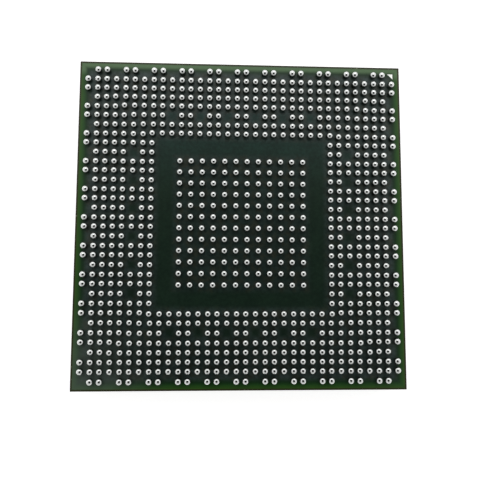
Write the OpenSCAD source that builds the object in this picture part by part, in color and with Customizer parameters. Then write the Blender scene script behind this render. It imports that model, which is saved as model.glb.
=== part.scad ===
// Flip-chip ball grid array package.
// A square laminate carries a bare silicon die and its capacitors on one face, and a field of
// solder balls on the other. The package lies on the back of its die with the balls facing up.
// Lengths are in millimetres. The origin is the middle of the back of the die.

/* [Laminate] */
// Side of the square package
package_w = 29.2; // [28.7:0.1:31]
// Thickness of the laminate
laminate_t = 1.1; // [0.8:0.05:1.4]
// Thickness of the solder mask on each face
mask_t = 0.025; // [0.02:0.001:0.03]
// Thickness of the copper lands inside the mask openings
land_t = 0.015; // [0.01:0.001:0.018]
// Length of the two short sides of each pin 1 mark
mark_leg = 0.5; // [0.4:0.05:0.7]

/* [Solder balls] */
// Distance from the package edge to the centres of the outermost balls
edge_margin = 0.85; // [0.7:0.01:1]
// Distance between the two balls of a pair
pair_pitch = 0.8; // [0.75:0.01:0.85]
// Distance between neighbouring balls of the centre grid
centre_pitch = 1; // [0.9:0.01:1.05]
// Balls along each side of the centre grid
centre_count = 12; // [8:2:12]
// Widest diameter of a ball
ball_d = 0.6; // [0.56:0.01:0.64]
// Height of a ball above its land
ball_h = 0.5; // [0.44:0.01:0.54]
// Gap between the neck of a ball and the edge of its mask opening
neck_gap = 0.01; // [0.005:0.001:0.02]

/* [Die] */
// Width of the silicon die
die_w = 10.8; // [9:0.1:12]
// Length of the silicon die
die_l = 10.9; // [9:0.1:12]
// Thickness of the silicon die
die_t = 0.78; // [0.7:0.01:0.85]
// Gap between the die and the solder mask behind it
bump_gap = 0.07; // [0.05:0.005:0.1]
// Diameter of a die bump
bump_d = 0.15; // [0.1:0.01:0.2]
// Distance between neighbouring die bumps
bump_pitch = 0.45; // [0.4:0.01:0.6]
// How far the underfill spreads beyond the sides of the die
fillet_w = 1; // [0.6:0.05:1.4]
// How far the underfill climbs the sides of the die
fillet_h = 0.5; // [0.3:0.05:0.6]

/* [Capacitors] */
// Length of a capacitor over its metal ends
cap_l = 1; // [0.8:0.05:1.2]
// Width of a capacitor
cap_w = 0.5; // [0.4:0.05:0.6]
// Height of a capacitor
cap_h = 0.5; // [0.35:0.05:0.6]
// Length of each metal end
cap_end_l = 0.25; // [0.15:0.05:0.3]
// Thickness of the metal of an end
cap_end_t = 0.02; // [0.01:0.005:0.03]
// Distance between neighbouring capacitors of a row
cap_pitch = 2.6; // [1.8:0.1:3]
// Clear distance between the rim of the underfill and a row of capacitors
cap_setback = 1.2; // [0.8:0.1:2]
// Thickness of the solder under a capacitor
joint_t = 0.02; // [0.01:0.005:0.03]
// How far the solder spreads beyond a capacitor's ends
joint_w = 0.2; // [0.1:0.05:0.3]
// How far the solder climbs a capacitor's ends
joint_h = 0.3; // [0.15:0.05:0.35]

/* [Hidden] */
$fn = 32;

// The ball field: eight rings round a centre grid, over an empty moat one cell wide.
ring_count = 8;
// Cells along the field. Each holds a pair of balls in its middle and a single ball at each end.
cell_count = 11;
cell = (package_w - 2 * edge_margin) / cell_count;
// Distance between a single ball and the nearest ball of a pair
single_gap = (cell - pair_pitch) / 2;
// Steps inwards from each ring to the next one
ring_steps = [
  single_gap, pair_pitch, pair_pitch, pair_pitch, single_gap, single_gap, pair_pitch
];
// Places along half a side, counted from the corner to the middle of the side
last_place = 3 * (cell_count + 1) / 2 - 2;
// The sixth ring leaves its single places bare from this place on.
first_bare_place = 9;

// Neck radius of a ball at a height above its land
function neck_r(height) = sqrt(pow(ball_d / 2, 2) - pow(ball_h - ball_d / 2 - height, 2));
opening_r = neck_r(mask_t - land_t) + neck_gap;

// Stack of the layers, from the back of the die upwards
die_side_z = die_t + bump_gap + mask_t;
ball_side_z = die_side_z + laminate_t;

// Capacitor rows: one along each side of the die
caps_in_row = 4;
cap_count = 4 * caps_in_row;
cap_seat = land_t + joint_t;
cap_land_l = cap_end_l + joint_w;

// Points of each hollow curve on a fillet of underfill or solder
curve_steps = 8;

function two_digits(n) = n < 10 ? str("0", n) : str(n);
function ring_name(ring) = str("ball_ring_", ring);
function ceramic_name(cap) = str("capacitor_", two_digits(cap), "_ceramic");
function ends_name(cap) = str("capacitor_", two_digits(cap), "_ends");

// Sum of the first values of a list
function sum_to(list, count) = count == 0 ? 0 : list[count - 1] + sum_to(list, count - 1);

// Distance of a ring from the middle of the package
function ring_reach(ring) = package_w / 2 - edge_margin - sum_to(ring_steps, ring - 1);

// Distance of a place from the middle of its side: place 0 is the single one at the corner,
// and after it come the two of a pair and the next single one, in turn.
function place_along(place) =
  let (cells_in = floor(place / 3), turn = place % 3)
  turn == 0 ? (cell_count / 2 - cells_in) * cell
  : ((cell_count - 1) / 2 - cells_in) * cell + (turn == 1 ? 1 : -1) * pair_pitch / 2;

// The outer ring has no single balls at all, and the sixth has none near the middle of a side.
function is_bare(ring, place) =
  place % 3 == 0 && (ring == 1 || (ring == 6 && place >= first_bare_place));

// A point turned about the middle of the package by quarter turns
function turned(p, turns) = turns == 0 ? p : turned([-p.y, p.x], turns - 1);

// Ball places of one ring. On each side they run from its corner ball to both ways of the middle.
function ring_spots(ring) = [
  for (turns = [0:3], place = [ring - 1:last_place], way = place == ring - 1 ? [1] : [1, -1])
    if (!is_bare(ring, place))
      turned([ring_reach(ring), way * (place == ring - 1 ? ring_reach(ring) : place_along(place))],
        turns)
];

// A square grid about the middle of the package
function grid_spots(across, along, pitch) = [
  for (i = [0:across - 1], j = [0:along - 1])
    [(i - (across - 1) / 2) * pitch, (j - (along - 1) / 2) * pitch]
];

centre_spots = grid_spots(centre_count, centre_count, centre_pitch);
ball_spots = concat([for (ring = [1:ring_count]) each ring_spots(ring)], centre_spots);

// The bump field keeps one pitch clear of each edge of the die.
bump_spots = grid_spots(floor(die_w / bump_pitch) - 1, floor(die_l / bump_pitch) - 1, bump_pitch);

// Hollow curve from the foot of a fillet to its top
function fillet_curve(foot, top) = [
  for (i = [0:curve_steps]) [foot * (1 - i / curve_steps), top * pow(i / curve_steps, 2)]
];

// What stands on the die side is drawn upwards from the face of the laminate.
module on_die_side() {
  translate([0, 0, die_side_z]) mirror([0, 0, 1]) children();
}

module on_ball_side() {
  translate([0, 0, ball_side_z]) children();
}

module discs(spots, radius) {
  for (spot = spots) translate(spot) circle(r = radius);
}

// Pin 1 mark: a triangle with its right angle towards the corner, where a corner ball would be
module pin_1_outline() {
  translate([ring_reach(1), ring_reach(1)])
    polygon([[mark_leg, mark_leg] / 2, [-mark_leg, mark_leg] / 2, [mark_leg, -mark_leg] / 2]);
}

// Distance from the middle of the package to the middle line of a capacitor row
function row_reach(side) =
  (side % 2 == 0 ? die_w : die_l) / 2 + fillet_w + cap_setback + cap_w / 2;

// Puts what is drawn along X at the place of one capacitor
module at_capacitor(cap) {
  side = floor((cap - 1) / caps_in_row);
  step = (cap - 1) % caps_in_row - (caps_in_row - 1) / 2;
  rotate(90 * side) translate([row_reach(side), step * cap_pitch, 0]) rotate(90) children();
}

// Does something at both ends of a capacitor, with X pointing outwards from its end
module at_both_ends() {
  for (way = [0, 180]) rotate(way) translate([cap_l / 2, 0, 0]) children();
}

module capacitor_land_outlines() {
  for (cap = [1:cap_count]) at_capacitor(cap) at_both_ends()
    translate([-cap_end_l, -cap_w / 2]) square([cap_land_l, cap_w]);
}

module laminate() {
  color([0.16, 0.22, 0.12])
    translate([-package_w / 2, -package_w / 2, die_side_z])
      cube([package_w, package_w, laminate_t]);
}

module ball_side_mask() {
  color([0.07, 0.13, 0.09]) on_ball_side() linear_extrude(mask_t) difference() {
    square(package_w, center = true);
    discs(ball_spots, opening_r);
    pin_1_outline();
  }
}

module die_side_mask() {
  color([0.07, 0.16, 0.09]) on_die_side() linear_extrude(mask_t) difference() {
    square(package_w, center = true);
    discs(bump_spots, bump_d / 2);
    pin_1_outline();
    capacitor_land_outlines();
  }
}

module ball_lands() {
  color([0.72, 0.45, 0.2]) on_ball_side() linear_extrude(land_t) discs(ball_spots, opening_r);
}

module ball_side_pin_1_mark() {
  color([0.85, 0.84, 0.78]) on_ball_side() linear_extrude(land_t) pin_1_outline();
}

module die_side_pin_1_mark() {
  color([0.85, 0.84, 0.78]) on_die_side() linear_extrude(land_t) pin_1_outline();
}

// A ball wets the whole of a flat land, so it is a sphere cut flat at its foot.
module ball() {
  rotate_extrude() intersection() {
    translate([0, ball_h - ball_d / 2]) circle(d = ball_d);
    square([ball_d / 2, ball_h]);
  }
}

module balls_at(spots) {
  color([0.82, 0.83, 0.84]) on_ball_side()
    for (spot = spots) translate([spot.x, spot.y, land_t]) ball();
}

module ball_ring(ring) {
  balls_at(ring_spots(ring));
}

module ball_centre_grid() {
  balls_at(centre_spots);
}

module die() {
  color([0.42, 0.44, 0.48])
    translate([-die_w / 2, -die_l / 2, 0]) cube([die_w, die_l, die_t]);
}

module die_bumps() {
  color([0.8, 0.8, 0.82]) on_die_side()
    linear_extrude(mask_t + bump_gap) discs(bump_spots, bump_d / 2);
}

module underfill_bead_profile() {
  polygon(concat([[0, 0]], fillet_curve(fillet_w, bump_gap + fillet_h)));
}

// Underfill: a sheet behind the die with the bumps passing through it, and a hollow bead that
// runs along each side of the die and round each of its corners
module underfill() {
  color([0.13, 0.12, 0.11]) on_die_side() translate([0, 0, mask_t]) {
    linear_extrude(bump_gap) difference() {
      square([die_w, die_l], center = true);
      discs(bump_spots, bump_d / 2);
    }
    for (side = [0:3]) {
      out = (side % 2 == 0 ? die_w : die_l) / 2;
      along = (side % 2 == 0 ? die_l : die_w);
      rotate(90 * side) translate([out, along / 2, 0]) {
        rotate([90, 0, 0]) linear_extrude(along) underfill_bead_profile();
        rotate_extrude(angle = 90) underfill_bead_profile();
      }
    }
  }
}

module capacitor_lands() {
  color([0.72, 0.45, 0.2]) on_die_side() linear_extrude(land_t) capacitor_land_outlines();
}

// Solder joint: a thin sheet under the metal end and a hollow fillet up its face
module capacitor_joint() {
  translate([0, cap_w / 2, land_t]) rotate([90, 0, 0]) linear_extrude(cap_w)
    polygon(concat(
      [[-cap_end_l, joint_t], [-cap_end_l, 0]],
      fillet_curve(joint_w, joint_t + joint_h),
      [[0, joint_t]]
    ));
}

module capacitor_solder() {
  color([0.78, 0.79, 0.8]) on_die_side()
    for (cap = [1:cap_count]) at_capacitor(cap) at_both_ends() capacitor_joint();
}

module ceramic_block() {
  translate([0, 0, cap_seat + cap_h / 2])
    cube([cap_l - 2 * cap_end_t, cap_w - 2 * cap_end_t, cap_h - 2 * cap_end_t], center = true);
}

module capacitor_ceramic(cap) {
  color([0.62, 0.5, 0.38]) on_die_side() at_capacitor(cap) ceramic_block();
}

// The two metal ends are cups over the ends of the ceramic block.
module capacitor_ends(cap) {
  color([0.75, 0.76, 0.78]) on_die_side() at_capacitor(cap) difference() {
    at_both_ends() translate([-cap_end_l, -cap_w / 2, cap_seat]) cube([cap_end_l, cap_w, cap_h]);
    ceramic_block();
  }
}

laminate();
ball_side_mask();
die_side_mask();
ball_lands();
ball_side_pin_1_mark();
for (ring = [1:ring_count])
  ball_ring(ring);
ball_centre_grid();
die();
die_bumps();
underfill();
die_side_pin_1_mark();
capacitor_lands();
capacitor_solder();
for (cap = [1:cap_count]) {
  capacitor_ceramic(cap);
  capacitor_ends(cap);
}
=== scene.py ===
# %% [markdown]
# # A ball grid array package
#
# This lesson dresses a chip package in Blender. The package is a thin board, 29.2 mm square. One side
# carries 908 solder balls, and the other a bare silicon die among small capacitors. It lies on its
# die, balls up, as it does on the bench before it is placed. The solids come from the CAD model,
# already exact, so the work here is finishes, light, camera, and one raised detail that the solids
# leave out.

import math

import bmesh
import bpy
import numpy as np
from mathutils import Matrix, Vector


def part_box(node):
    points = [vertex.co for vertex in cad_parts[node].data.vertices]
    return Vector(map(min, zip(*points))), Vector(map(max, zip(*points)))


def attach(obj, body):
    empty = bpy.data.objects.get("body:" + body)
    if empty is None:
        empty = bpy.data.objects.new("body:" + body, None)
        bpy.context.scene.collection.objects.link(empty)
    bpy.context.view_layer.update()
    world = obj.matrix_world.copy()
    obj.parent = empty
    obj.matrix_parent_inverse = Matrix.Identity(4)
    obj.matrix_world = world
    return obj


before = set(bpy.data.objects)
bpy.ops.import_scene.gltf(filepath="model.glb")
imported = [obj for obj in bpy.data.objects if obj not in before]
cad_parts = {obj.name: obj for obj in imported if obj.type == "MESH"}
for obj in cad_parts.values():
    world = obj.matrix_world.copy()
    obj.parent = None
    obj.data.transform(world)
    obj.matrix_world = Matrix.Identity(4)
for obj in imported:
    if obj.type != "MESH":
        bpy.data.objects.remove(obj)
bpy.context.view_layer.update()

# %% [markdown]
# ## The sizes that the finishes need
#
# A finish often has to know where it is: the board's mask changes near the rim, and a ball is duller
# at its neck. Typing such heights in again would let them drift from the solids, so they are read
# from the solids' own boxes. Everything is turned into millimetres, which suit a part of this size.

# %% Read the levels and widths, in millimetres
MM = 1000.0
MICRON = 0.000001


def low_mm(node):
    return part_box(node)[0] * MM


def high_mm(node):
    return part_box(node)[1] * MM


BOARD_HALF = high_mm("laminate").x
BOARD_TOP = high_mm("ball_side_mask").z
CORE_TOP = high_mm("laminate").z
CORE_BOTTOM = low_mm("laminate").z
BALL_TOP = high_mm("ball_ring_1").z
print("board half", BOARD_HALF, "mask top", BOARD_TOP)
print("core", CORE_BOTTOM, CORE_TOP, "ball top", BALL_TOP)

# %% [markdown]
# ## Shader maths as plain arithmetic
#
# Node trees get long when each sum is wired by hand. Here one small class wraps an output socket, so
# `1 - mask * 0.5` adds the two Math nodes by itself. The reflected forms, such as `__rsub__`, are what
# lets a plain number stand on the left.


# %% A socket that can be added and scaled
class Wire:
    """One output socket of a node tree."""

    def __init__(self, nodes, socket):
        self.nodes = nodes
        self.socket = socket

    def beside(self, key):
        """Another output of the same node."""
        return Wire(self.nodes, self.socket.node.outputs[key])

    def __add__(self, other):
        return self.nodes.maths("ADD", self, other)

    def __radd__(self, other):
        return self.nodes.maths("ADD", other, self)

    def __sub__(self, other):
        return self.nodes.maths("SUBTRACT", self, other)

    def __rsub__(self, other):
        return self.nodes.maths("SUBTRACT", other, self)

    def __mul__(self, other):
        return self.nodes.maths("MULTIPLY", self, other)

    def __rmul__(self, other):
        return self.nodes.maths("MULTIPLY", other, self)

    def __neg__(self):
        return self * -1.0

    def __abs__(self):
        return self.nodes.maths("ABSOLUTE", self)


print("reflected forms:", sorted(name for name in vars(Wire) if name.startswith("__r")))

# %% [markdown]
# ## Nodes and their sockets
#
# Every node comes from one method, which makes the node, sets its own settings first, and then fills
# in or links its sockets. Numbers go through Math nodes. Colours and vectors don't, because a Math node
# would turn them grey: they have Mix and Vector Math. The smooth step is the tool that is used most. It
# turns a distance or a noise into a share between 0 and 1, and `fall` is the same step turned over.


# %% A node tree and what goes into it
class Nodes:
    """The node tree of a material or of the world."""

    def __init__(self, owner):
        owner.use_nodes = True
        self.owner = owner
        self.tree = owner.node_tree
        self.tree.nodes.clear()

    def node(self, kind, settings=None, sockets=None, out=0):
        """A node of that type: its settings first, then the values or links of its sockets."""
        made = self.tree.nodes.new(kind)
        for name, value in (settings or {}).items():
            setattr(made, name, value)
        for key, value in (sockets or {}).items():
            if isinstance(value, Wire):
                self.tree.links.new(value.socket, made.inputs[key])
            else:
                made.inputs[key].default_value = value
        return Wire(self, made.outputs[out]) if len(made.outputs) else None

    def maths(self, operation, *terms):
        return self.node("ShaderNodeMath", {"operation": operation}, dict(enumerate(terms)))

    def rise(self, value, start, end, low=0.0, high=1.0):
        """A smooth step: low where value is below start, high where it is above end."""
        sockets = {0: value, 1: start, 2: end, 3: low, 4: high}
        settings = {"interpolation_type": "SMOOTHSTEP", "clamp": True}
        return self.node("ShaderNodeMapRange", settings, sockets)

    def fall(self, value, start, end):
        """The same step turned over: 1 where value is below start, 0 where it is above end."""
        return self.rise(value, start, end, 1.0, 0.0)

    def mix(self, share, first, second):
        """A colour between two, each a link or three numbers."""
        sockets = {0: share}
        for key, colour in ((6, first), (7, second)):
            sockets[key] = colour if isinstance(colour, Wire) else (*colour, 1)
        return self.node("ShaderNodeMix", {"data_type": "RGBA"}, sockets, out=2)

    def parts(self, vector):
        """The x, y and z of a vector, as three wires."""
        first = self.node("ShaderNodeSeparateXYZ", sockets={0: vector})
        return first, first.beside(1), first.beside(2)

    def distance(self, point, centre):
        return self.node("ShaderNodeVectorMath", {"operation": "DISTANCE"}, {0: point, 1: centre}, out=1)

    def stretch(self, vector, factors):
        return self.node("ShaderNodeVectorMath", {"operation": "MULTIPLY"}, {0: vector, 1: factors})


print("node tree methods:", [name for name in vars(Nodes) if not name.startswith("_")])

# %% [markdown]
# ## A finish for a surface
#
# A finish is a node tree that ends in a Principled surface. Its textures could be laid on with UV maps,
# but some thousands of small solids would have to be unwrapped first. So they start from the point on
# the surface in the model's own frame, in millimetres: a texture's scale then says how many grains go
# into a millimetre, and a pattern lines up with the part. Fine relief is a bump. Its depth is in
# metres, as Blender wants it, and written here in microns.

# %% A finish
FLAT = (1, 1, 0)
NOISE_MIDDLE = 0.5


class Finish(Nodes):
    """A material's node tree, with textures, bump and surface."""

    def place(self):
        """The point on the surface, in millimetres, in the model's own frame."""
        here = self.node("ShaderNodeTexCoord", out=3)
        return self.node("ShaderNodeVectorMath", {"operation": "SCALE"}, {0: here, "Scale": MM})

    def noise(self, vector, scale, detail=2.0, roughness=0.5):
        sockets = {"Vector": vector, "Scale": scale, "Detail": detail, "Roughness": roughness}
        return self.node("ShaderNodeTexNoise", sockets=sockets)

    def cells(self, vector, scale, randomness=1.0):
        """The distance to the middle of the nearest cell."""
        sockets = {"Vector": vector, "Scale": scale, "Randomness": randomness}
        return self.node("ShaderNodeTexVoronoi", {"feature": "F1"}, sockets)

    def bump(self, height, depth, strength, under=None):
        """A normal that a height gives. Depth is what a height of 1 stands for, in metres."""
        sockets = {"Height": height, "Distance": depth, "Strength": strength}
        if under is not None:
            sockets["Normal"] = under
        return self.node("ShaderNodeBump", sockets=sockets)

    def surface(self, **inputs):
        """The Principled surface. Python names such as base_color stand for its socket names."""
        sockets = {name.replace("_", " ").title().replace("Ior", "IOR"): value
                   for name, value in inputs.items()}
        shader = self.node("ShaderNodeBsdfPrincipled", sockets=sockets)
        self.node("ShaderNodeOutputMaterial", sockets={"Surface": shader})
        return self.owner


def new_finish(name):
    return Finish(bpy.data.materials.new(name))


print("materials in the file so far:", len(bpy.data.materials))

# %% [markdown]
# ## The camera
#
# The package is seen from close above, so its near edge spreads a little and the balls at the rim
# show more of their flanks. That is a short lens near the part, not a long one far away. The camera
# stands 39 mm over the balls, leans 5 degrees, and the clip distance is short enough to keep a part
# this close in view.

# %% Set the camera over the balls
CAMERA_PLACE = Vector((-1.638, -4.598, 41.074)) / MM
CAMERA_LEAN = (math.radians(4.502), math.radians(-2.235), math.radians(0.380))
CAMERA_LENS = 33.10
CAMERA_SENSOR = 36.0
CLIP_NEAR = 0.5 / MM
CLIP_FAR = 10.0

camera = bpy.data.objects.new("camera", bpy.data.cameras.new("camera"))
camera.data.sensor_width = CAMERA_SENSOR
camera.data.lens = CAMERA_LENS
camera.data.clip_start = CLIP_NEAR
camera.data.clip_end = CLIP_FAR
camera.rotation_mode = "ZYX"
camera.rotation_euler = CAMERA_LEAN
camera.location = CAMERA_PLACE
bpy.context.scene.collection.objects.link(camera)
bpy.context.scene.camera = camera
bpy.context.scene.view_settings.view_transform = "Standard"
print("camera", [round(v * MM, 2) for v in camera.location])

# %% [markdown]
# ## Light for something that is mostly mirrors
#
# A solder ball shows its whole surroundings, so it is lit by what stands round it rather than by a
# lamp. The classic set for such parts is a white tent, brighter at the back than in front, with a dark
# card over the part. The tent gives each ball its bright ring, and the card gives the ring its dark
# middle. A soft round panel, 40 degrees from overhead towards the back, gives the ring its brightest
# spot. Area lamps could do this, but each would show as a hard square in every ball. So all of it is
# the world's colour, which depends on direction alone. The camera sees plain white there.

# %% The tent and its panel
TENT_BACK = 1.05
TENT_SIDE = 0.88
TENT_FRONT = 0.60
TENT_TURN = (0.0, 0.85)
PANEL_EXTRA = 1.10
PANEL_TILT = math.radians(40)
PANEL_FADE = (math.cos(math.radians(24)), math.cos(math.radians(12)))
WHITE = (1, 1, 1, 1)

world = bpy.data.worlds.new("tent")
bpy.context.scene.world = world
tent = Nodes(world)
direction = tent.node("ShaderNodeTexCoord", out=0)
_, backward, _ = tent.parts(direction)
back_share = tent.rise(backward, *TENT_TURN)
front_share = tent.rise(-backward, *TENT_TURN)
level = TENT_SIDE + back_share * (TENT_BACK - TENT_SIDE) + front_share * (TENT_FRONT - TENT_SIDE)
panel_middle = (0.0, math.sin(PANEL_TILT), math.cos(PANEL_TILT))
toward_panel = tent.node("ShaderNodeVectorMath", {"operation": "DOT_PRODUCT"},
                         {0: direction, 1: panel_middle}, out=1)
level = level + tent.rise(toward_panel, *PANEL_FADE) * PANEL_EXTRA
cloth = tent.node("ShaderNodeBackground", sockets={"Color": WHITE, "Strength": level})
plain = tent.node("ShaderNodeBackground", sockets={"Color": WHITE, "Strength": 1.0})
camera_ray = tent.node("ShaderNodeLightPath")
shown = tent.node("ShaderNodeMixShader", sockets={0: camera_ray, 1: cloth, 2: plain})
tent.node("ShaderNodeOutputWorld", sockets={"Surface": shown})
print("tent levels", TENT_BACK, TENT_SIDE, TENT_FRONT, "panel", PANEL_EXTRA)

# %% [markdown]
# ## The dark card
#
# The card hangs at the camera's height. It is black in the middle and fades out towards its rim, as
# a card does when it hangs out of focus in a small mirror. It could be painted into the tent, but it
# hangs near, so balls at different places mirror it a little differently, as real ones do. The camera
# doesn't see it, so that it never blocks a view, and it isn't part of the object.

# %% Hang the card
CARD_HALF = 42.0
CARD_DARK = 30.0
CARD_CLEAR = 38.0
CARD_CENTRE = Vector((0.0, -10.5, 41.2))
CARD_BLACK = (0.01, 0.01, 0.01, 1)


def flat_piece(name, half, centre, material):
    """One square sheet, half wide each way, in millimetres."""
    mesh = bpy.data.meshes.new(name)
    corners = [(-half, -half), (half, -half), (half, half), (-half, half)]
    points = [((x + centre.x) / MM, (y + centre.y) / MM, centre.z / MM) for x, y in corners]
    mesh.from_pydata(points, [], [(0, 1, 2, 3)])
    mesh.materials.append(material)
    made = bpy.data.objects.new(name, mesh)
    bpy.context.scene.collection.objects.link(made)
    return made


card_look = new_finish("card_black")
from_centre = card_look.distance(card_look.place(), CARD_CENTRE)
cover = card_look.fall(from_centre, CARD_DARK, CARD_CLEAR)
clear = card_look.node("ShaderNodeBsdfTransparent")
black = card_look.node("ShaderNodeBsdfDiffuse", sockets={"Color": CARD_BLACK})
faded = card_look.node("ShaderNodeMixShader", sockets={0: cover, 1: clear, 2: black})
card_look.node("ShaderNodeOutputMaterial", sockets={"Surface": faded})
card = flat_piece("dark_card", CARD_HALF, CARD_CENTRE, card_look.owner)
card.visible_camera = False
print("card over", tuple(CARD_CENTRE))

# %% [markdown]
# ## The floor
#
# The floor is a plain pale sheet that the die rests on. It has to look white and still take the
# part's shadow. Part of what leaves it is its own white, seen only by the camera and by mirrors and
# glass, and the rest is light that falls on it, which the package can shade.

# %% Lay the floor
FLOOR_HALF = 900.0
FLOOR_OWN_WHITE = 0.72
FLOOR_PAPER = (0.82, 0.82, 0.82, 1)

floor_look = new_finish("floor_white")
camera_ray = floor_look.node("ShaderNodeLightPath")
mirror_ray = camera_ray.beside("Is Glossy Ray")
glass_ray = camera_ray.beside("Is Transmission Ray")
seen = floor_look.maths("MAXIMUM", floor_look.maths("MAXIMUM", camera_ray, mirror_ray), glass_ray)
paper = floor_look.node("ShaderNodeBsdfDiffuse", sockets={"Color": FLOOR_PAPER})
own = floor_look.node("ShaderNodeEmission", sockets={"Color": WHITE, "Strength": seen * FLOOR_OWN_WHITE})
both = floor_look.node("ShaderNodeAddShader", sockets={0: paper, 1: own})
floor_look.node("ShaderNodeOutputMaterial", sockets={"Surface": both})
floor = flat_piece("floor", FLOOR_HALF, Vector((0, 0, 0)), floor_look.owner)
print("floor half width", FLOOR_HALF, "mm")

# %% [markdown]
# ## Solder balls
#
# A tin and silver solder ball is a bright, slightly frosted metal. When it froze, small grains grew
# through it, and each grain ends in its own faint facet, so the shine breaks up at a scale of a few
# hundredths of a millimetre. A plain metal would look like a bearing ball. Here the grain is a cell
# texture in the bump, the frost is a noise in the roughness, and slow noise makes neighbours differ.
# From its shoulder down the metal is painted darker, a painted shade for the dark board and neighbours
# that the flank mirrors, and the neck is rougher.

# %% Solder ball finish
TIN = (0.770, 0.790, 0.770)
TIN_DULL = (0.540, 0.560, 0.545)
TIN_FLANK_SHADE = (0.250, 0.262, 0.250)
FLANK = BALL_TOP - 0.19
SHOULDER = BALL_TOP - 0.08
NECK = BOARD_TOP + 0.02
NECK_END = BOARD_TOP + 0.14
TARNISH_FADE = (0.42, 0.72)
TARNISH_MOST = 0.35
FROST_SHARE = 0.5
BATCH_SHARE = 0.5
FROST_RELIEF = 0.5
BALL_ROUGH = 0.06
FROST_ROUGH = 0.08
BATCH_ROUGH = 0.04
NECK_ROUGH = 0.15
GRAIN_DEPTH = 3.5 * MICRON

solder = new_finish("solder_ball")
at = solder.place()
_, _, z_mm = solder.parts(at)
flank_shade = solder.fall(z_mm, FLANK, SHOULDER)
neck = solder.fall(z_mm, NECK, NECK_END)
grains = solder.cells(at, scale=22.0)
frost = solder.noise(at, scale=30.0, detail=3.0, roughness=0.6)
batch = solder.noise(solder.stretch(at, FLAT), scale=1.1, detail=1.0)
tarnish = solder.rise(frost * FROST_SHARE + batch * BATCH_SHARE, *TARNISH_FADE)
solder_colour = solder.mix(tarnish * TARNISH_MOST, TIN, TIN_DULL)
# Painted shade on the lower flank, for the dark board and neighbours that it mirrors.
solder_colour = solder.mix(flank_shade, solder_colour, TIN_FLANK_SHADE)
solder_rough = BALL_ROUGH + frost * FROST_ROUGH + batch * BATCH_ROUGH + neck * NECK_ROUGH
solder_normal = solder.bump(grains + frost * FROST_RELIEF, depth=GRAIN_DEPTH, strength=0.6)
solder_ball = solder.surface(base_color=solder_colour, metallic=1.0, roughness=solder_rough,
                             normal=solder_normal)
print("solder ball finish:", len(solder.tree.nodes), "nodes, flank from", FLANK, "to", SHOULDER)

# %% [markdown]
# ## Solder mask on the ball side
#
# The mask is a thin green lacquer over copper and over the bare core, and it shows what is below. It
# could be one painted image, but arithmetic on a point's place stays sharp at any distance. It goes in
# steps: how far a point is from the edge, what lies below it, how the lacquer varies, and then the
# colours. The distance is measured with the larger of |x| and |y|, so that bands at the rim are square
# as the board is. A little noise in it keeps the bands from looking ruled.

# %% How far a point is from the board's edge
RAGGED = 0.06


def rim_distance(finish, at):
    """How far out a point is on the board, measured square: the larger of |x| and |y|."""
    x, y, _ = finish.parts(at)
    return finish.maths("MAXIMUM", abs(x), abs(y))


mask = new_finish("ball_side_solder_mask")
at = mask.place()
flat_at = mask.stretch(at, FLAT)
x_mm, y_mm, _ = mask.parts(at)
reach = rim_distance(mask, at)
ragged = mask.noise(at, scale=9.0, detail=3.0, roughness=0.6) - NOISE_MIDDLE
inward = BOARD_HALF - reach + ragged * RAGGED
print("distance from the edge:", len(mask.tree.nodes), "nodes")

# %% [markdown]
# ## Bands along the rim
#
# The dark copper plane stops short of the board's rim. There light comes back through the lacquer,
# which turns olive green and is brightest at the outside. A band of shade lies just inside it, and
# a thin line at the very edge is dark, where the saw has scorched it. Each band is a smooth step in the
# distance from the edge. The two numbers say where it is full and where it has gone, in millimetres.

# %% The bands
SHADE_FADE = (0.65, 1.15)
RIM_FADE = (0.35, 0.75)
OUTER_FADE = (0.10, 0.45)
SAW_FADE = (0.12, 0.20)

in_shade = mask.fall(inward, *SHADE_FADE)
on_rim = mask.fall(inward, *RIM_FADE)
outer = mask.fall(inward, *OUTER_FADE)
sawn = mask.fall(inward, *SAW_FADE)
print("bands end at", SHADE_FADE[1], RIM_FADE[1], OUTER_FADE[1], SAW_FADE[1], "mm from the edge")

# %% [markdown]
# ## Where no ball stands
#
# Between the rings of balls and the grid in the centre lies an empty moat, and the sixth ring leaves
# a few sites without a ball near the middle of each side. No traces run there, so the lacquer is
# smoother and a deeper green. The moat is a band in the distance from the centre. The sites lie a cell
# apart along each side, so a modulo of the distance along the side finds them all with one node.

# %% Moat and bare sites
MOAT_INSIDE = 6.05
MOAT_OUTSIDE = 7.55
MOAT_BLUR = 0.35
BARE_RING = 9.65
BARE_STEP = 2.5
BARE_FADE = (0.10, 0.60)
BARE_END = (7.0, 7.2)

past_grid = mask.rise(reach, MOAT_INSIDE - MOAT_BLUR, MOAT_INSIDE + MOAT_BLUR)
before_rings = mask.fall(reach, MOAT_OUTSIDE - MOAT_BLUR, MOAT_OUTSIDE + MOAT_BLUR)
in_moat = past_grid * before_rings
along = mask.maths("MINIMUM", abs(x_mm), abs(y_mm))
off_middle = abs(mask.maths("MODULO", along, BARE_STEP) - BARE_STEP / 2)
off_site = mask.maths("MAXIMUM", off_middle, abs(reach - BARE_RING))
on_site = mask.fall(off_site, *BARE_FADE) * mask.fall(along, *BARE_END)
bare = mask.maths("MAXIMUM", in_moat, on_site)
in_rings = mask.rise(reach, MOAT_INSIDE, MOAT_OUTSIDE)
print("moat from", MOAT_INSIDE, "to", MOAT_OUTSIDE, "mm, bare sites every", BARE_STEP, "mm")

# %% [markdown]
# ## How the lacquer varies
#
# Lacquer is never one colour. It pools in places and thins over traces, which shows as dark clouds of
# two sizes, and where copper lies close below it is warmer. Each of these is a noise that a smooth step
# makes clearer. A very fine noise stands for the pigment, and a slow one for the orange peel of
# a surface that dried as it flowed. Both sides of the board use these two, so a helper makes them.

# %% Clouds, warm blotches, pigment and peel
PATCH_SHARE = 0.4
MOTTLE_SHARE = 0.6
CLOUD_FADE = (0.34, 0.66)
WARM_FADE = (0.45, 0.65)
FAR_FADE = (2.0, 12.0)


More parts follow.
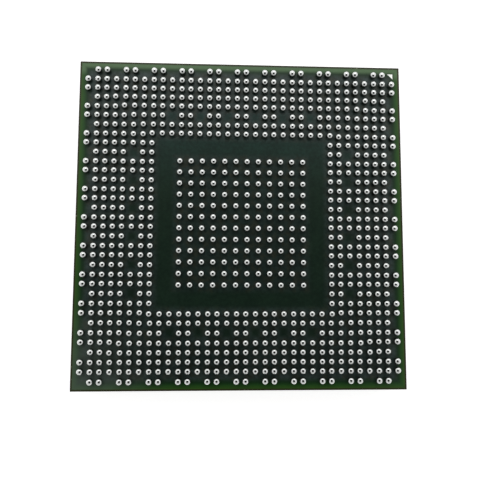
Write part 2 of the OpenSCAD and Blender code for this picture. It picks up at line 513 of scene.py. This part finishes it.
def lacquer_grain(finish, at):
    """The lacquer's pigment and its orange peel."""
    return finish.noise(at, scale=38.0, detail=3.0, roughness=0.7), finish.noise(at, scale=7.0)


patches = mask.noise(flat_at, scale=0.55, detail=3.0, roughness=0.55)
mottle = mask.noise(flat_at, scale=3.6, detail=3.0, roughness=0.6)
cloud = mask.rise(patches * PATCH_SHARE + mottle * MOTTLE_SHARE, *CLOUD_FADE)
warm = mask.rise(mask.noise(flat_at, scale=1.3, detail=3.0, roughness=0.6), *WARM_FADE)
far = mask.rise(y_mm, *FAR_FADE)
pigment, peel = lacquer_grain(mask, at)
print("variations:", len(mask.tree.nodes), "nodes so far")

# %% [markdown]
# ## Colour among the balls
#
# The colours are laid over each other as paint would be: the ground, the warm blotches, the bare
# places, the clouds, and the shade along the rim. Each Mix takes a share from the steps above. The bare
# places are painted cooler on the far side, for the sheen that a low light gives smooth lacquer there.

# %% Inner colours
MASK_GRID = (0.0330, 0.0560, 0.0480)
MASK_RINGS_LIT = (0.0560, 0.0840, 0.0760)
MASK_WARM = (0.0620, 0.0620, 0.0380)
MASK_BARE = (0.0140, 0.0340, 0.0200)
MASK_BARE_FAR = (0.0120, 0.0520, 0.0420)
MASK_DEEP = (0.0050, 0.0130, 0.0090)
MASK_SHADE = (0.0085, 0.0370, 0.0110)
WARM_MOST = 0.6
CLOUD_MOST = 0.6

bare_colour = mask.mix(far, MASK_BARE, MASK_BARE_FAR)
# The ground among the rings is painted lighter than the centre grid: painted light for the glow of the
# dense bright balls, which makes up for the shade they cast there.
mask_colour = mask.mix(in_rings, MASK_GRID, MASK_RINGS_LIT)
mask_colour = mask.mix(warm * WARM_MOST, mask_colour, MASK_WARM)
mask_colour = mask.mix(bare, mask_colour, bare_colour)
mask_colour = mask.mix(cloud * CLOUD_MOST, mask_colour, MASK_DEEP)
mask_colour = mask.mix(in_shade, mask_colour, MASK_SHADE)
print("inner colours laid, from", MASK_GRID, "to", MASK_SHADE)

# %% [markdown]
# ## Colour at the rim
#
# The rim has a colour of its own, in two greens, with the pigment showing through. The far rim and one
# corner look paler on such a board as it lies, with a sheen that this tent is too even to give. So both
# are painted in. Unlike a real sheen, they stay where they are when the view changes. Last come the
# dark saw line and the small pale nicks in it, where the lacquer chipped.

# %% Rim colours
MASK_RIM = (0.0245, 0.0980, 0.0150)
MASK_RIM_OUTER = (0.0480, 0.1230, 0.0160)
MASK_RIM_FAR = (0.1200, 0.2150, 0.1000)
MASK_HAZE = (0.1250, 0.1600, 0.1350)
MASK_SAWN = (0.0340, 0.0380, 0.0130)
MASK_NICK = (0.3200, 0.3400, 0.2400)
RIM_FAR_FADE = (13.2, 13.9)
PIGMENT_MOST = 0.3
HAZE_CORNER = (-BOARD_HALF, -BOARD_HALF, 0.0)
HAZE_FADE = (1.0, 9.0)
HAZE_RAGGED = 3.0
HAZE_MOST = 0.5
NICK_FADE = (0.64, 0.70)

rim_colour = mask.mix(outer, MASK_RIM, MASK_RIM_OUTER)
rim_colour = mask.mix(mask.rise(y_mm, *RIM_FAR_FADE), rim_colour, MASK_RIM_FAR)
rim_colour = mask.mix(pigment * PIGMENT_MOST, rim_colour, MASK_SHADE)
mask_colour = mask.mix(on_rim, mask_colour, rim_colour)
haze = mask.fall(mask.distance(flat_at, HAZE_CORNER) + ragged * HAZE_RAGGED, *HAZE_FADE)
mask_colour = mask.mix(haze * HAZE_MOST, mask_colour, MASK_HAZE)
mask_colour = mask.mix(sawn, mask_colour, MASK_SAWN)
nicks = mask.rise(mask.noise(flat_at, scale=2.3, detail=4.0, roughness=0.7), *NICK_FADE) * sawn
mask_colour = mask.mix(nicks, mask_colour, MASK_NICK)
print("rim colours laid, haze reaches", HAZE_FADE[1], "mm from its corner")

# %% [markdown]
# ## Gloss of the lacquer
#
# The lacquer is half glossy. The orange peel is a few microns deep and bends reflections slowly, and
# the pigment is finer and much shallower. Two Bump nodes in a row add the two reliefs. The specular
# level is low, because pigment at the surface scatters what a clear lacquer would mirror.

# %% Ball side mask finish
PEEL_DEPTH = 3.5 * MICRON
PIGMENT_DEPTH = 0.6 * MICRON
LACQUER_ROUGH = 0.30
PIGMENT_ROUGH = 0.10
LACQUER_SPECULAR = 0.26

mask_normal = mask.bump(peel, depth=PEEL_DEPTH, strength=0.5)
mask_normal = mask.bump(pigment, depth=PIGMENT_DEPTH, strength=0.5, under=mask_normal)
ball_side_solder_mask = mask.surface(
    base_color=mask_colour, roughness=LACQUER_ROUGH + pigment * PIGMENT_ROUGH,
    specular_ior_level=LACQUER_SPECULAR, normal=mask_normal)
print("ball side mask finish:", len(mask.tree.nodes), "nodes")

# %% [markdown]
# ## Solder mask on the die side
#
# The same lacquer on the side that faces down. Copper planes in such a board are pierced by a grid
# of small holes that let gas out while the layers are pressed, and they show through the mask as
# faint dots. A regular cell texture with no randomness gives that grid, and the mask's colour and a
# shallow bump follow it. Along the rim, where the planes end, the lacquer is paler.

# %% Die side mask finish
VENT_PITCH = 0.6
VENT_FADE = (0.12, 0.17)
VENT_DEPTH = 5.0 * MICRON
RIM_BAND = 0.53
RIM_BLUR = 0.04
MASK_GREEN = (0.0150, 0.0480, 0.0230)
MASK_GREEN_THIN = (0.0225, 0.0720, 0.0345)
MASK_GREEN_PALE = (0.0320, 0.0780, 0.0330)
THIN_PATCH_MOST = 0.6
THIN_PIGMENT_MOST = 0.3
VENT_MOST = 0.7
UNDER_ROUGH = 0.28
UNDER_PIGMENT_ROUGH = 0.12
UNDER_IOR = 1.5

under = new_finish("die_side_solder_mask")
at = under.place()
reach = rim_distance(under, at)
vents = under.cells(under.stretch(at, FLAT), scale=1 / VENT_PITCH, randomness=0.0)
vent = under.fall(vents, *VENT_FADE)
on_rim = under.rise(reach, BOARD_HALF - RIM_BAND - RIM_BLUR, BOARD_HALF - RIM_BAND + RIM_BLUR)
pigment, peel = lacquer_grain(under, at)
patches = under.noise(at, scale=0.6, detail=3.0, roughness=0.55)
thin = patches * THIN_PATCH_MOST + pigment * THIN_PIGMENT_MOST
pale = under.maths("MAXIMUM", vent * VENT_MOST, on_rim)
under_colour = under.mix(thin, MASK_GREEN, MASK_GREEN_THIN)
under_colour = under.mix(pale, under_colour, MASK_GREEN_PALE)
under_normal = under.bump(-vent, depth=VENT_DEPTH, strength=0.6)
under_normal = under.bump(peel, depth=PEEL_DEPTH, strength=0.5, under=under_normal)
die_side_solder_mask = under.surface(
    base_color=under_colour, roughness=UNDER_ROUGH + pigment * UNDER_PIGMENT_ROUGH,
    ior=UNDER_IOR, normal=under_normal)
print("die side mask finish:", len(under.tree.nodes), "nodes")

# %% [markdown]
# ## The sawn edge of the board
#
# The board is cut from a panel with a saw, and its edge shows how it was pressed together: a thick
# core of glass cloth in yellow-brown resin, and thin glass-free layers above and below it. Cut
# bundles of glass show as pale lens shapes in rows. Height picks the layer, a stretched cell texture
# makes the bundles, and long thin noise across the height makes the saw's marks.

# %% Laminate finish
BUILD_UP = 0.16
FILM = 0.04
RESIN = (0.215, 0.170, 0.075)
RESIN_DARK = (0.105, 0.085, 0.040)
GLASS = (0.430, 0.380, 0.230)
LAYER_DARK = (0.070, 0.062, 0.034)
LAYER_BLUR = 0.01
GLASS_FADE = (0.22, 0.42)
SEAM_FADE = (0.1, 0.5)
GLASS_MOST = 0.8
FIBRE_MOST = 0.5
GLASS_RELIEF = 0.6
FIBRE_RELIEF = 0.4
BUNDLES_PER_MM = (2.2, 2.2, 9.0)
FIBRES_PER_MM = (40, 40, 120)
SAW_MARKS_PER_MM = (22, 22, 1.2)
SAW_DEPTH = 6.0 * MICRON
GLASS_DEPTH = 4.0 * MICRON
RESIN_ROUGH = 0.55
SAW_ROUGH = 0.25
RESIN_IOR = 1.52

laminate = new_finish("laminate_resin")
at = laminate.place()
_, _, z_mm = laminate.parts(at)
middle = (CORE_TOP + CORE_BOTTOM) / 2
half_core = (CORE_TOP - CORE_BOTTOM) / 2 - BUILD_UP
off_middle = abs(z_mm - middle)
in_layers = laminate.rise(off_middle, half_core - LAYER_BLUR, half_core + LAYER_BLUR)
bundles = laminate.cells(laminate.stretch(at, BUNDLES_PER_MM), scale=1.0)
glass = laminate.fall(bundles, *GLASS_FADE)
fibres = laminate.noise(laminate.stretch(at, FIBRES_PER_MM), scale=1.0)
saw = laminate.noise(laminate.stretch(at, SAW_MARKS_PER_MM), scale=1.0, detail=3.0, roughness=0.6)
body_colour = laminate.mix(glass * GLASS_MOST, RESIN, GLASS)
body_colour = laminate.mix(fibres * FIBRE_MOST, body_colour, RESIN_DARK)
seams = abs(laminate.maths("SINE", (off_middle - half_core) * (math.pi / FILM)))
layer_colour = laminate.mix(laminate.rise(seams, *SEAM_FADE), LAYER_DARK, RESIN_DARK)
laminate_colour = laminate.mix(in_layers, body_colour, layer_colour)
laminate_normal = laminate.bump(saw, depth=SAW_DEPTH, strength=0.6)
cloth_relief = glass * GLASS_RELIEF + fibres * FIBRE_RELIEF
laminate_normal = laminate.bump(cloth_relief, depth=GLASS_DEPTH, strength=0.5, under=laminate_normal)
laminate_resin = laminate.surface(base_color=laminate_colour, roughness=RESIN_ROUGH + saw * SAW_ROUGH,
                                  normal=laminate_normal, ior=RESIN_IOR)
print("laminate finish:", len(laminate.tree.nodes), "nodes, core half height", round(half_core, 3))

# %% [markdown]
# ## Bare copper and the pin 1 mark
#
# Each ball stands on a copper land in an opening of the mask. Almost all of it is covered, and what
# shows in the narrow gap is copper with a brown film. The pin 1 mark is the same metal, but open to
# the eye and tinned, so that it is a bright corner that an assembler can find. One flat metal would look
# like foil, so each has a slow noise that shifts its colour and a fine one for roughness and bump.

# %% Land and mark finishes
COPPER = (0.620, 0.330, 0.200)
COPPER_FILM = (0.300, 0.150, 0.085)
MARK_TIN = (0.900, 0.920, 0.880)
MARK_DULL = (0.720, 0.740, 0.690)
FILM_FADE = (0.35, 0.65)
DULL_FADE = (0.35, 0.70)
LAND_ROUGH = 0.32
LAND_GRAIN_ROUGH = 0.20
MARK_ROUGH = 0.26
MARK_PORES_ROUGH = 0.14

land = new_finish("copper_land")
at = land.place()
film = land.noise(at, scale=14.0, detail=3.0, roughness=0.6)
grain = land.noise(at, scale=60.0, roughness=0.6)
land_colour = land.mix(land.rise(film, *FILM_FADE), COPPER, COPPER_FILM)
copper_land = land.surface(
    base_color=land_colour, metallic=1.0, roughness=LAND_ROUGH + grain * LAND_GRAIN_ROUGH,
    normal=land.bump(grain, depth=1.2 * MICRON, strength=0.5))

mark = new_finish("plated_mark")
at = mark.place()
dull = mark.noise(at, scale=9.0, detail=3.0, roughness=0.6)
pores = mark.noise(at, scale=45.0, detail=3.0, roughness=0.6)
mark_colour = mark.mix(mark.rise(dull, *DULL_FADE), MARK_TIN, MARK_DULL)
plated_mark = mark.surface(
    base_color=mark_colour, metallic=1.0, roughness=MARK_ROUGH + pores * MARK_PORES_ROUGH,
    normal=mark.bump(pores, depth=0.8 * MICRON, strength=0.5))
print("land and mark finishes:", len(land.tree.nodes), len(mark.tree.nodes), "nodes")

# %% [markdown]
# ## The silicon die
#
# The back of the die is bare silicon, ground thin and then polished. It is a dark grey mirror with a
# sweep of very fine curved scratches from the grinding wheel. The scratches are rings about a point
# far off the die: distance to that point, fed to a noise that changes only along it. The side walls
# were sawn, so they are rougher, and height tells the two apart.

# %% Silicon finish
WHEEL_CENTRE = (-42.0, 31.0, 0.0)
SCRATCHES_PER_MM = 38.0
SCRATCH_DRIFT = 0.25
SILICON = (0.20500, 0.21200, 0.22800)
SILICON_DULL = (0.15990, 0.16536, 0.17784)
SILICON_WALL = (0.12000, 0.12400, 0.13200)
WALL_FADE = (0.015, 0.04)
CHIPS_PER_MM = (9, 9, 30)
SHEEN_MOST = 0.5
SCRATCH_MOST = 0.25
SILICON_ROUGH = 0.13
SCRATCH_ROUGH = 0.10
WALL_ROUGH = 0.26
SCRATCH_DEPTH = 0.4 * MICRON
CHIP_DEPTH = 3.0 * MICRON

silicon = new_finish("silicon_back")
at = silicon.place()
x_mm, y_mm, z_mm = silicon.parts(at)
flat_at = silicon.stretch(at, FLAT)
ring = silicon.distance(flat_at, WHEEL_CENTRE) * SCRATCHES_PER_MM
ring_at = silicon.node("ShaderNodeCombineXYZ",
                       sockets={0: ring, 1: x_mm * SCRATCH_DRIFT, 2: y_mm * SCRATCH_DRIFT})
scratches = silicon.noise(ring_at, scale=1.0, detail=4.0, roughness=0.65)
sheen = silicon.noise(flat_at, scale=0.35)
wall = silicon.rise(z_mm, *WALL_FADE)
chips = silicon.noise(silicon.stretch(at, CHIPS_PER_MM), scale=1.0, detail=3.0, roughness=0.6)
silicon_colour = silicon.mix(sheen * SHEEN_MOST + scratches * SCRATCH_MOST, SILICON, SILICON_DULL)
silicon_colour = silicon.mix(wall, silicon_colour, SILICON_WALL)
silicon_rough = SILICON_ROUGH + scratches * SCRATCH_ROUGH + wall * WALL_ROUGH
silicon_normal = silicon.bump(scratches, depth=SCRATCH_DEPTH, strength=0.5)
silicon_normal = silicon.bump(chips * wall, depth=CHIP_DEPTH, strength=0.7, under=silicon_normal)
silicon_back = silicon.surface(base_color=silicon_colour, metallic=1.0, roughness=silicon_rough,
                               normal=silicon_normal)
print("silicon finish:", len(silicon.tree.nodes), "nodes")

# %% [markdown]
# ## Underfill
#
# A bead of filled epoxy creeps under the die and stands round it as a sloped fillet. It is a dark
# grey-blue, half glossy, full of tiny glass spheres that show as a fine speckle, and its surface has
# slow swells from where it flowed. Noise alone would give soft clouds, so a cell texture makes the
# spheres: close to a cell's middle is a speck.

# %% Underfill finish
EPOXY = (0.020, 0.023, 0.028)
FILLER = (0.085, 0.090, 0.095)
SPECK_FADE = (0.10, 0.24)
SWELL_DEPTH = 18.0 * MICRON
SPECK_DEPTH = 1.2 * MICRON
SPECK_MOST = 0.55
FLOW_MOST = 0.2
EPOXY_ROUGH = 0.30
SPECK_ROUGH = 0.12
FLOW_ROUGH = 0.10
EPOXY_IOR = 1.52

underfill = new_finish("underfill_epoxy")
at = underfill.place()
specks = underfill.fall(underfill.cells(at, scale=28.0), *SPECK_FADE)
flow = underfill.noise(at, scale=1.6, detail=3.0)
epoxy_colour = underfill.mix(specks * SPECK_MOST + flow * FLOW_MOST, EPOXY, FILLER)
epoxy_rough = EPOXY_ROUGH + specks * SPECK_ROUGH + flow * FLOW_ROUGH
epoxy_normal = underfill.bump(flow, depth=SWELL_DEPTH, strength=0.6)
epoxy_normal = underfill.bump(specks, depth=SPECK_DEPTH, strength=0.6, under=epoxy_normal)
underfill_epoxy = underfill.surface(base_color=epoxy_colour, roughness=epoxy_rough, normal=epoxy_normal,
                                    ior=EPOXY_IOR)
print("underfill finish:", len(underfill.tree.nodes), "nodes")

# %% [markdown]
# ## Capacitors
#
# Sixteen small ceramic capacitors stand round the die. The body is fired ceramic, a matt tan with
# a fine grain, and the ends are tin over nickel, satin and slightly pitted. Two noises are enough for
# each: a slow one that shifts the colour, and a fine one that is both grain and bump.

# %% Capacitor finishes
CERAMIC = (0.300, 0.205, 0.125)
CERAMIC_DARK = (0.190, 0.122, 0.072)
PLATING = (0.600, 0.600, 0.590)
PLATING_DULL = (0.400, 0.400, 0.390)
FIRED_MOST = 0.6
GRIT_MOST = 0.4
PLATING_CLOUD_MOST = 0.6
PITS_MOST = 0.3
CERAMIC_ROUGH = 0.42
GRIT_ROUGH = 0.20
CERAMIC_IOR = 1.6
PLATING_ROUGH = 0.34
PITS_ROUGH = 0.22

ceramic = new_finish("capacitor_ceramic")
at = ceramic.place()
fired = ceramic.noise(at, scale=5.0, detail=3.0, roughness=0.6)
grit = ceramic.noise(at, scale=55.0, detail=3.0, roughness=0.7)
ceramic_colour = ceramic.mix(fired * FIRED_MOST + grit * GRIT_MOST, CERAMIC, CERAMIC_DARK)
ceramic_normal = ceramic.bump(grit, depth=2.0 * MICRON, strength=0.6)
capacitor_ceramic = ceramic.surface(base_color=ceramic_colour, roughness=CERAMIC_ROUGH + grit * GRIT_ROUGH,
                                    normal=ceramic_normal, ior=CERAMIC_IOR)

plating = new_finish("capacitor_end_plating")
at = plating.place()
pits = plating.noise(at, scale=34.0, detail=4.0, roughness=0.65)
cloud = plating.noise(at, scale=4.0)
plating_colour = plating.mix(cloud * PLATING_CLOUD_MOST + pits * PITS_MOST, PLATING, PLATING_DULL)
capacitor_end_plating = plating.surface(
    base_color=plating_colour, metallic=1.0, roughness=PLATING_ROUGH + pits * PITS_ROUGH,
    normal=plating.bump(pits, depth=4.0 * MICRON, strength=0.6))
print("capacitor finishes:", len(ceramic.tree.nodes), len(plating.tree.nodes), "nodes")

# %% [markdown]
# ## Joints and die bumps
#
# The capacitors' joints are reflowed solder, brighter and smoother than the plating, with the same
# frozen grain as the balls. The bumps below the die are solder too. The underfill seals them in, so
# theirs is the plainest of the metal finishes.

# %% Joint and bump finishes
JOINT_FROST_MOST = 0.5
BUMP_FROST_MOST = 0.6
JOINT_ROUGH = 0.20
JOINT_FROST_ROUGH = 0.18
BUMP_ROUGH = 0.30
BUMP_FROST_ROUGH = 0.20

joint = new_finish("joint_solder")
at = joint.place()
grains = joint.cells(at, scale=20.0)
frost = joint.noise(at, scale=30.0, detail=3.0, roughness=0.6)
joint_colour = joint.mix(frost * JOINT_FROST_MOST, TIN, TIN_DULL)
joint_solder = joint.surface(
    base_color=joint_colour, metallic=1.0, roughness=JOINT_ROUGH + frost * JOINT_FROST_ROUGH,
    normal=joint.bump(grains + frost, depth=3.0 * MICRON, strength=0.6))

hidden_bump = new_finish("bump_solder")
at = hidden_bump.place()
frost = hidden_bump.noise(at, scale=60.0, roughness=0.6)
bump_colour = hidden_bump.mix(frost * BUMP_FROST_MOST, TIN, TIN_DULL)
bump_solder = hidden_bump.surface(
    base_color=bump_colour, metallic=1.0, roughness=BUMP_ROUGH + frost * BUMP_FROST_ROUGH,
    normal=hidden_bump.bump(frost, depth=1.0 * MICRON, strength=0.5))
print("joint and bump finishes:", len(joint.tree.nodes), len(hidden_bump.tree.nodes), "nodes")

# %% [markdown]
# ## Put the finishes on the solids
#
# Each solid already carries one material that is named after its slot in the record. The new
# finishes have the same names, so a dictionary from slot to finish is enough, and a solid whose slot
# had no finish would stop the script here.

# %% Assign the finishes
FINISHES = {
    "laminate_resin": laminate_resin,
    "ball_side_solder_mask": ball_side_solder_mask,
    "die_side_solder_mask": die_side_solder_mask,
    "copper_land": copper_land,
    "plated_mark": plated_mark,
    "solder_ball": solder_ball,
    "silicon_back": silicon_back,
    "bump_solder": bump_solder,
    "underfill_epoxy": underfill_epoxy,
    "joint_solder": joint_solder,
    "capacitor_ceramic": capacitor_ceramic,
    "capacitor_end_plating": capacitor_end_plating,
}
for name, solid in sorted(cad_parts.items()):
    for holder in solid.material_slots:
        holder.material = FINISHES[holder.material.name.split(".")[0]]
print("finishes on", len(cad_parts), "solids")

# %% [markdown]
# ## Find the balls
#
# The next piece stands round every ball, so it needs their places. They come from the solids, not from
# a list typed in again. One node holds a whole ring of balls, and the vertex at the top of each ball is
# its centre seen from above, so the highest vertices of a node are the places of its balls.

# %% The balls' places
BALL_NODES = sorted(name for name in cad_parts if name.startswith("ball_ring_"))
BALL_NODES.append("ball_centre_grid")
SAME_HEIGHT = 1e-4


def ball_tops(node):
    """The x and y of each ball in a node, in millimetres."""
    points = np.array([v.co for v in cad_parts[node].data.vertices], float) * MM
    tops = points[points[:, 2] > points[:, 2].max() - SAME_HEIGHT]
    return sorted({(round(x, 3), round(y, 3)) for x, y, _ in tops})


BALLS = [spot for node in BALL_NODES for spot in ball_tops(node)]
print("balls found:", len(BALLS))

# %% [markdown]
# ## Collars in the mask
#
# Each land is wider than its opening, so the lacquer climbs over the land's rim and stands as a low
# collar round the ball. It is only a few thousandths of a millimetre high, but a glossy surface
# shows such a step as a thin bright ring. A bump can't follow 908 places that aren't on one grid, so
# the collars are real geometry: one ring of faces round each ball, joined in one mesh. A collar's
# section is a short list of steps, each a radius and a height over the mask.

# %% Build the collars
COLLAR_SIDES = 30
COLLAR_STEPS = ((0.2424, 0.0030), (0.2500, 0.0065), (0.3080, 0.0065), (0.3300, 0.0005))


def ring_mesh(name, centres, steps, sides, base):
    """Rings of faces round each centre. Steps are (radius, height above base) in millimetres."""
    mesh = bpy.data.meshes.new(name)
    build = bmesh.new()
    turns = [(math.cos(2 * math.pi * k / sides), math.sin(2 * math.pi * k / sides)) for k in range(sides)]
    for x, y in centres:
        loops = [[build.verts.new(((x + r * c) / MM, (y + r * s) / MM, (base + h) / MM)) for c, s in turns]
                 for r, h in steps]
        for inner, outer in zip(loops, loops[1:]):
            for k in range(sides):
                following = (k + 1) % sides
                build.faces.new((inner[k], outer[k], outer[following], inner[following]))
    for face in build.faces:
        face.smooth = True
    build.to_mesh(mesh)
    build.free()
    made = bpy.data.objects.new(name, mesh)
    bpy.context.scene.collection.objects.link(made)
    return made


collars = ring_mesh("mask_collars", BALLS, COLLAR_STEPS, COLLAR_SIDES, BOARD_TOP)
collars.data.materials.append(ball_side_solder_mask)
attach(collars, "root")
print("collar triangles:", sum(len(p.vertices) - 2 for p in collars.data.polygons))

# %% [markdown]

# %% [markdown]
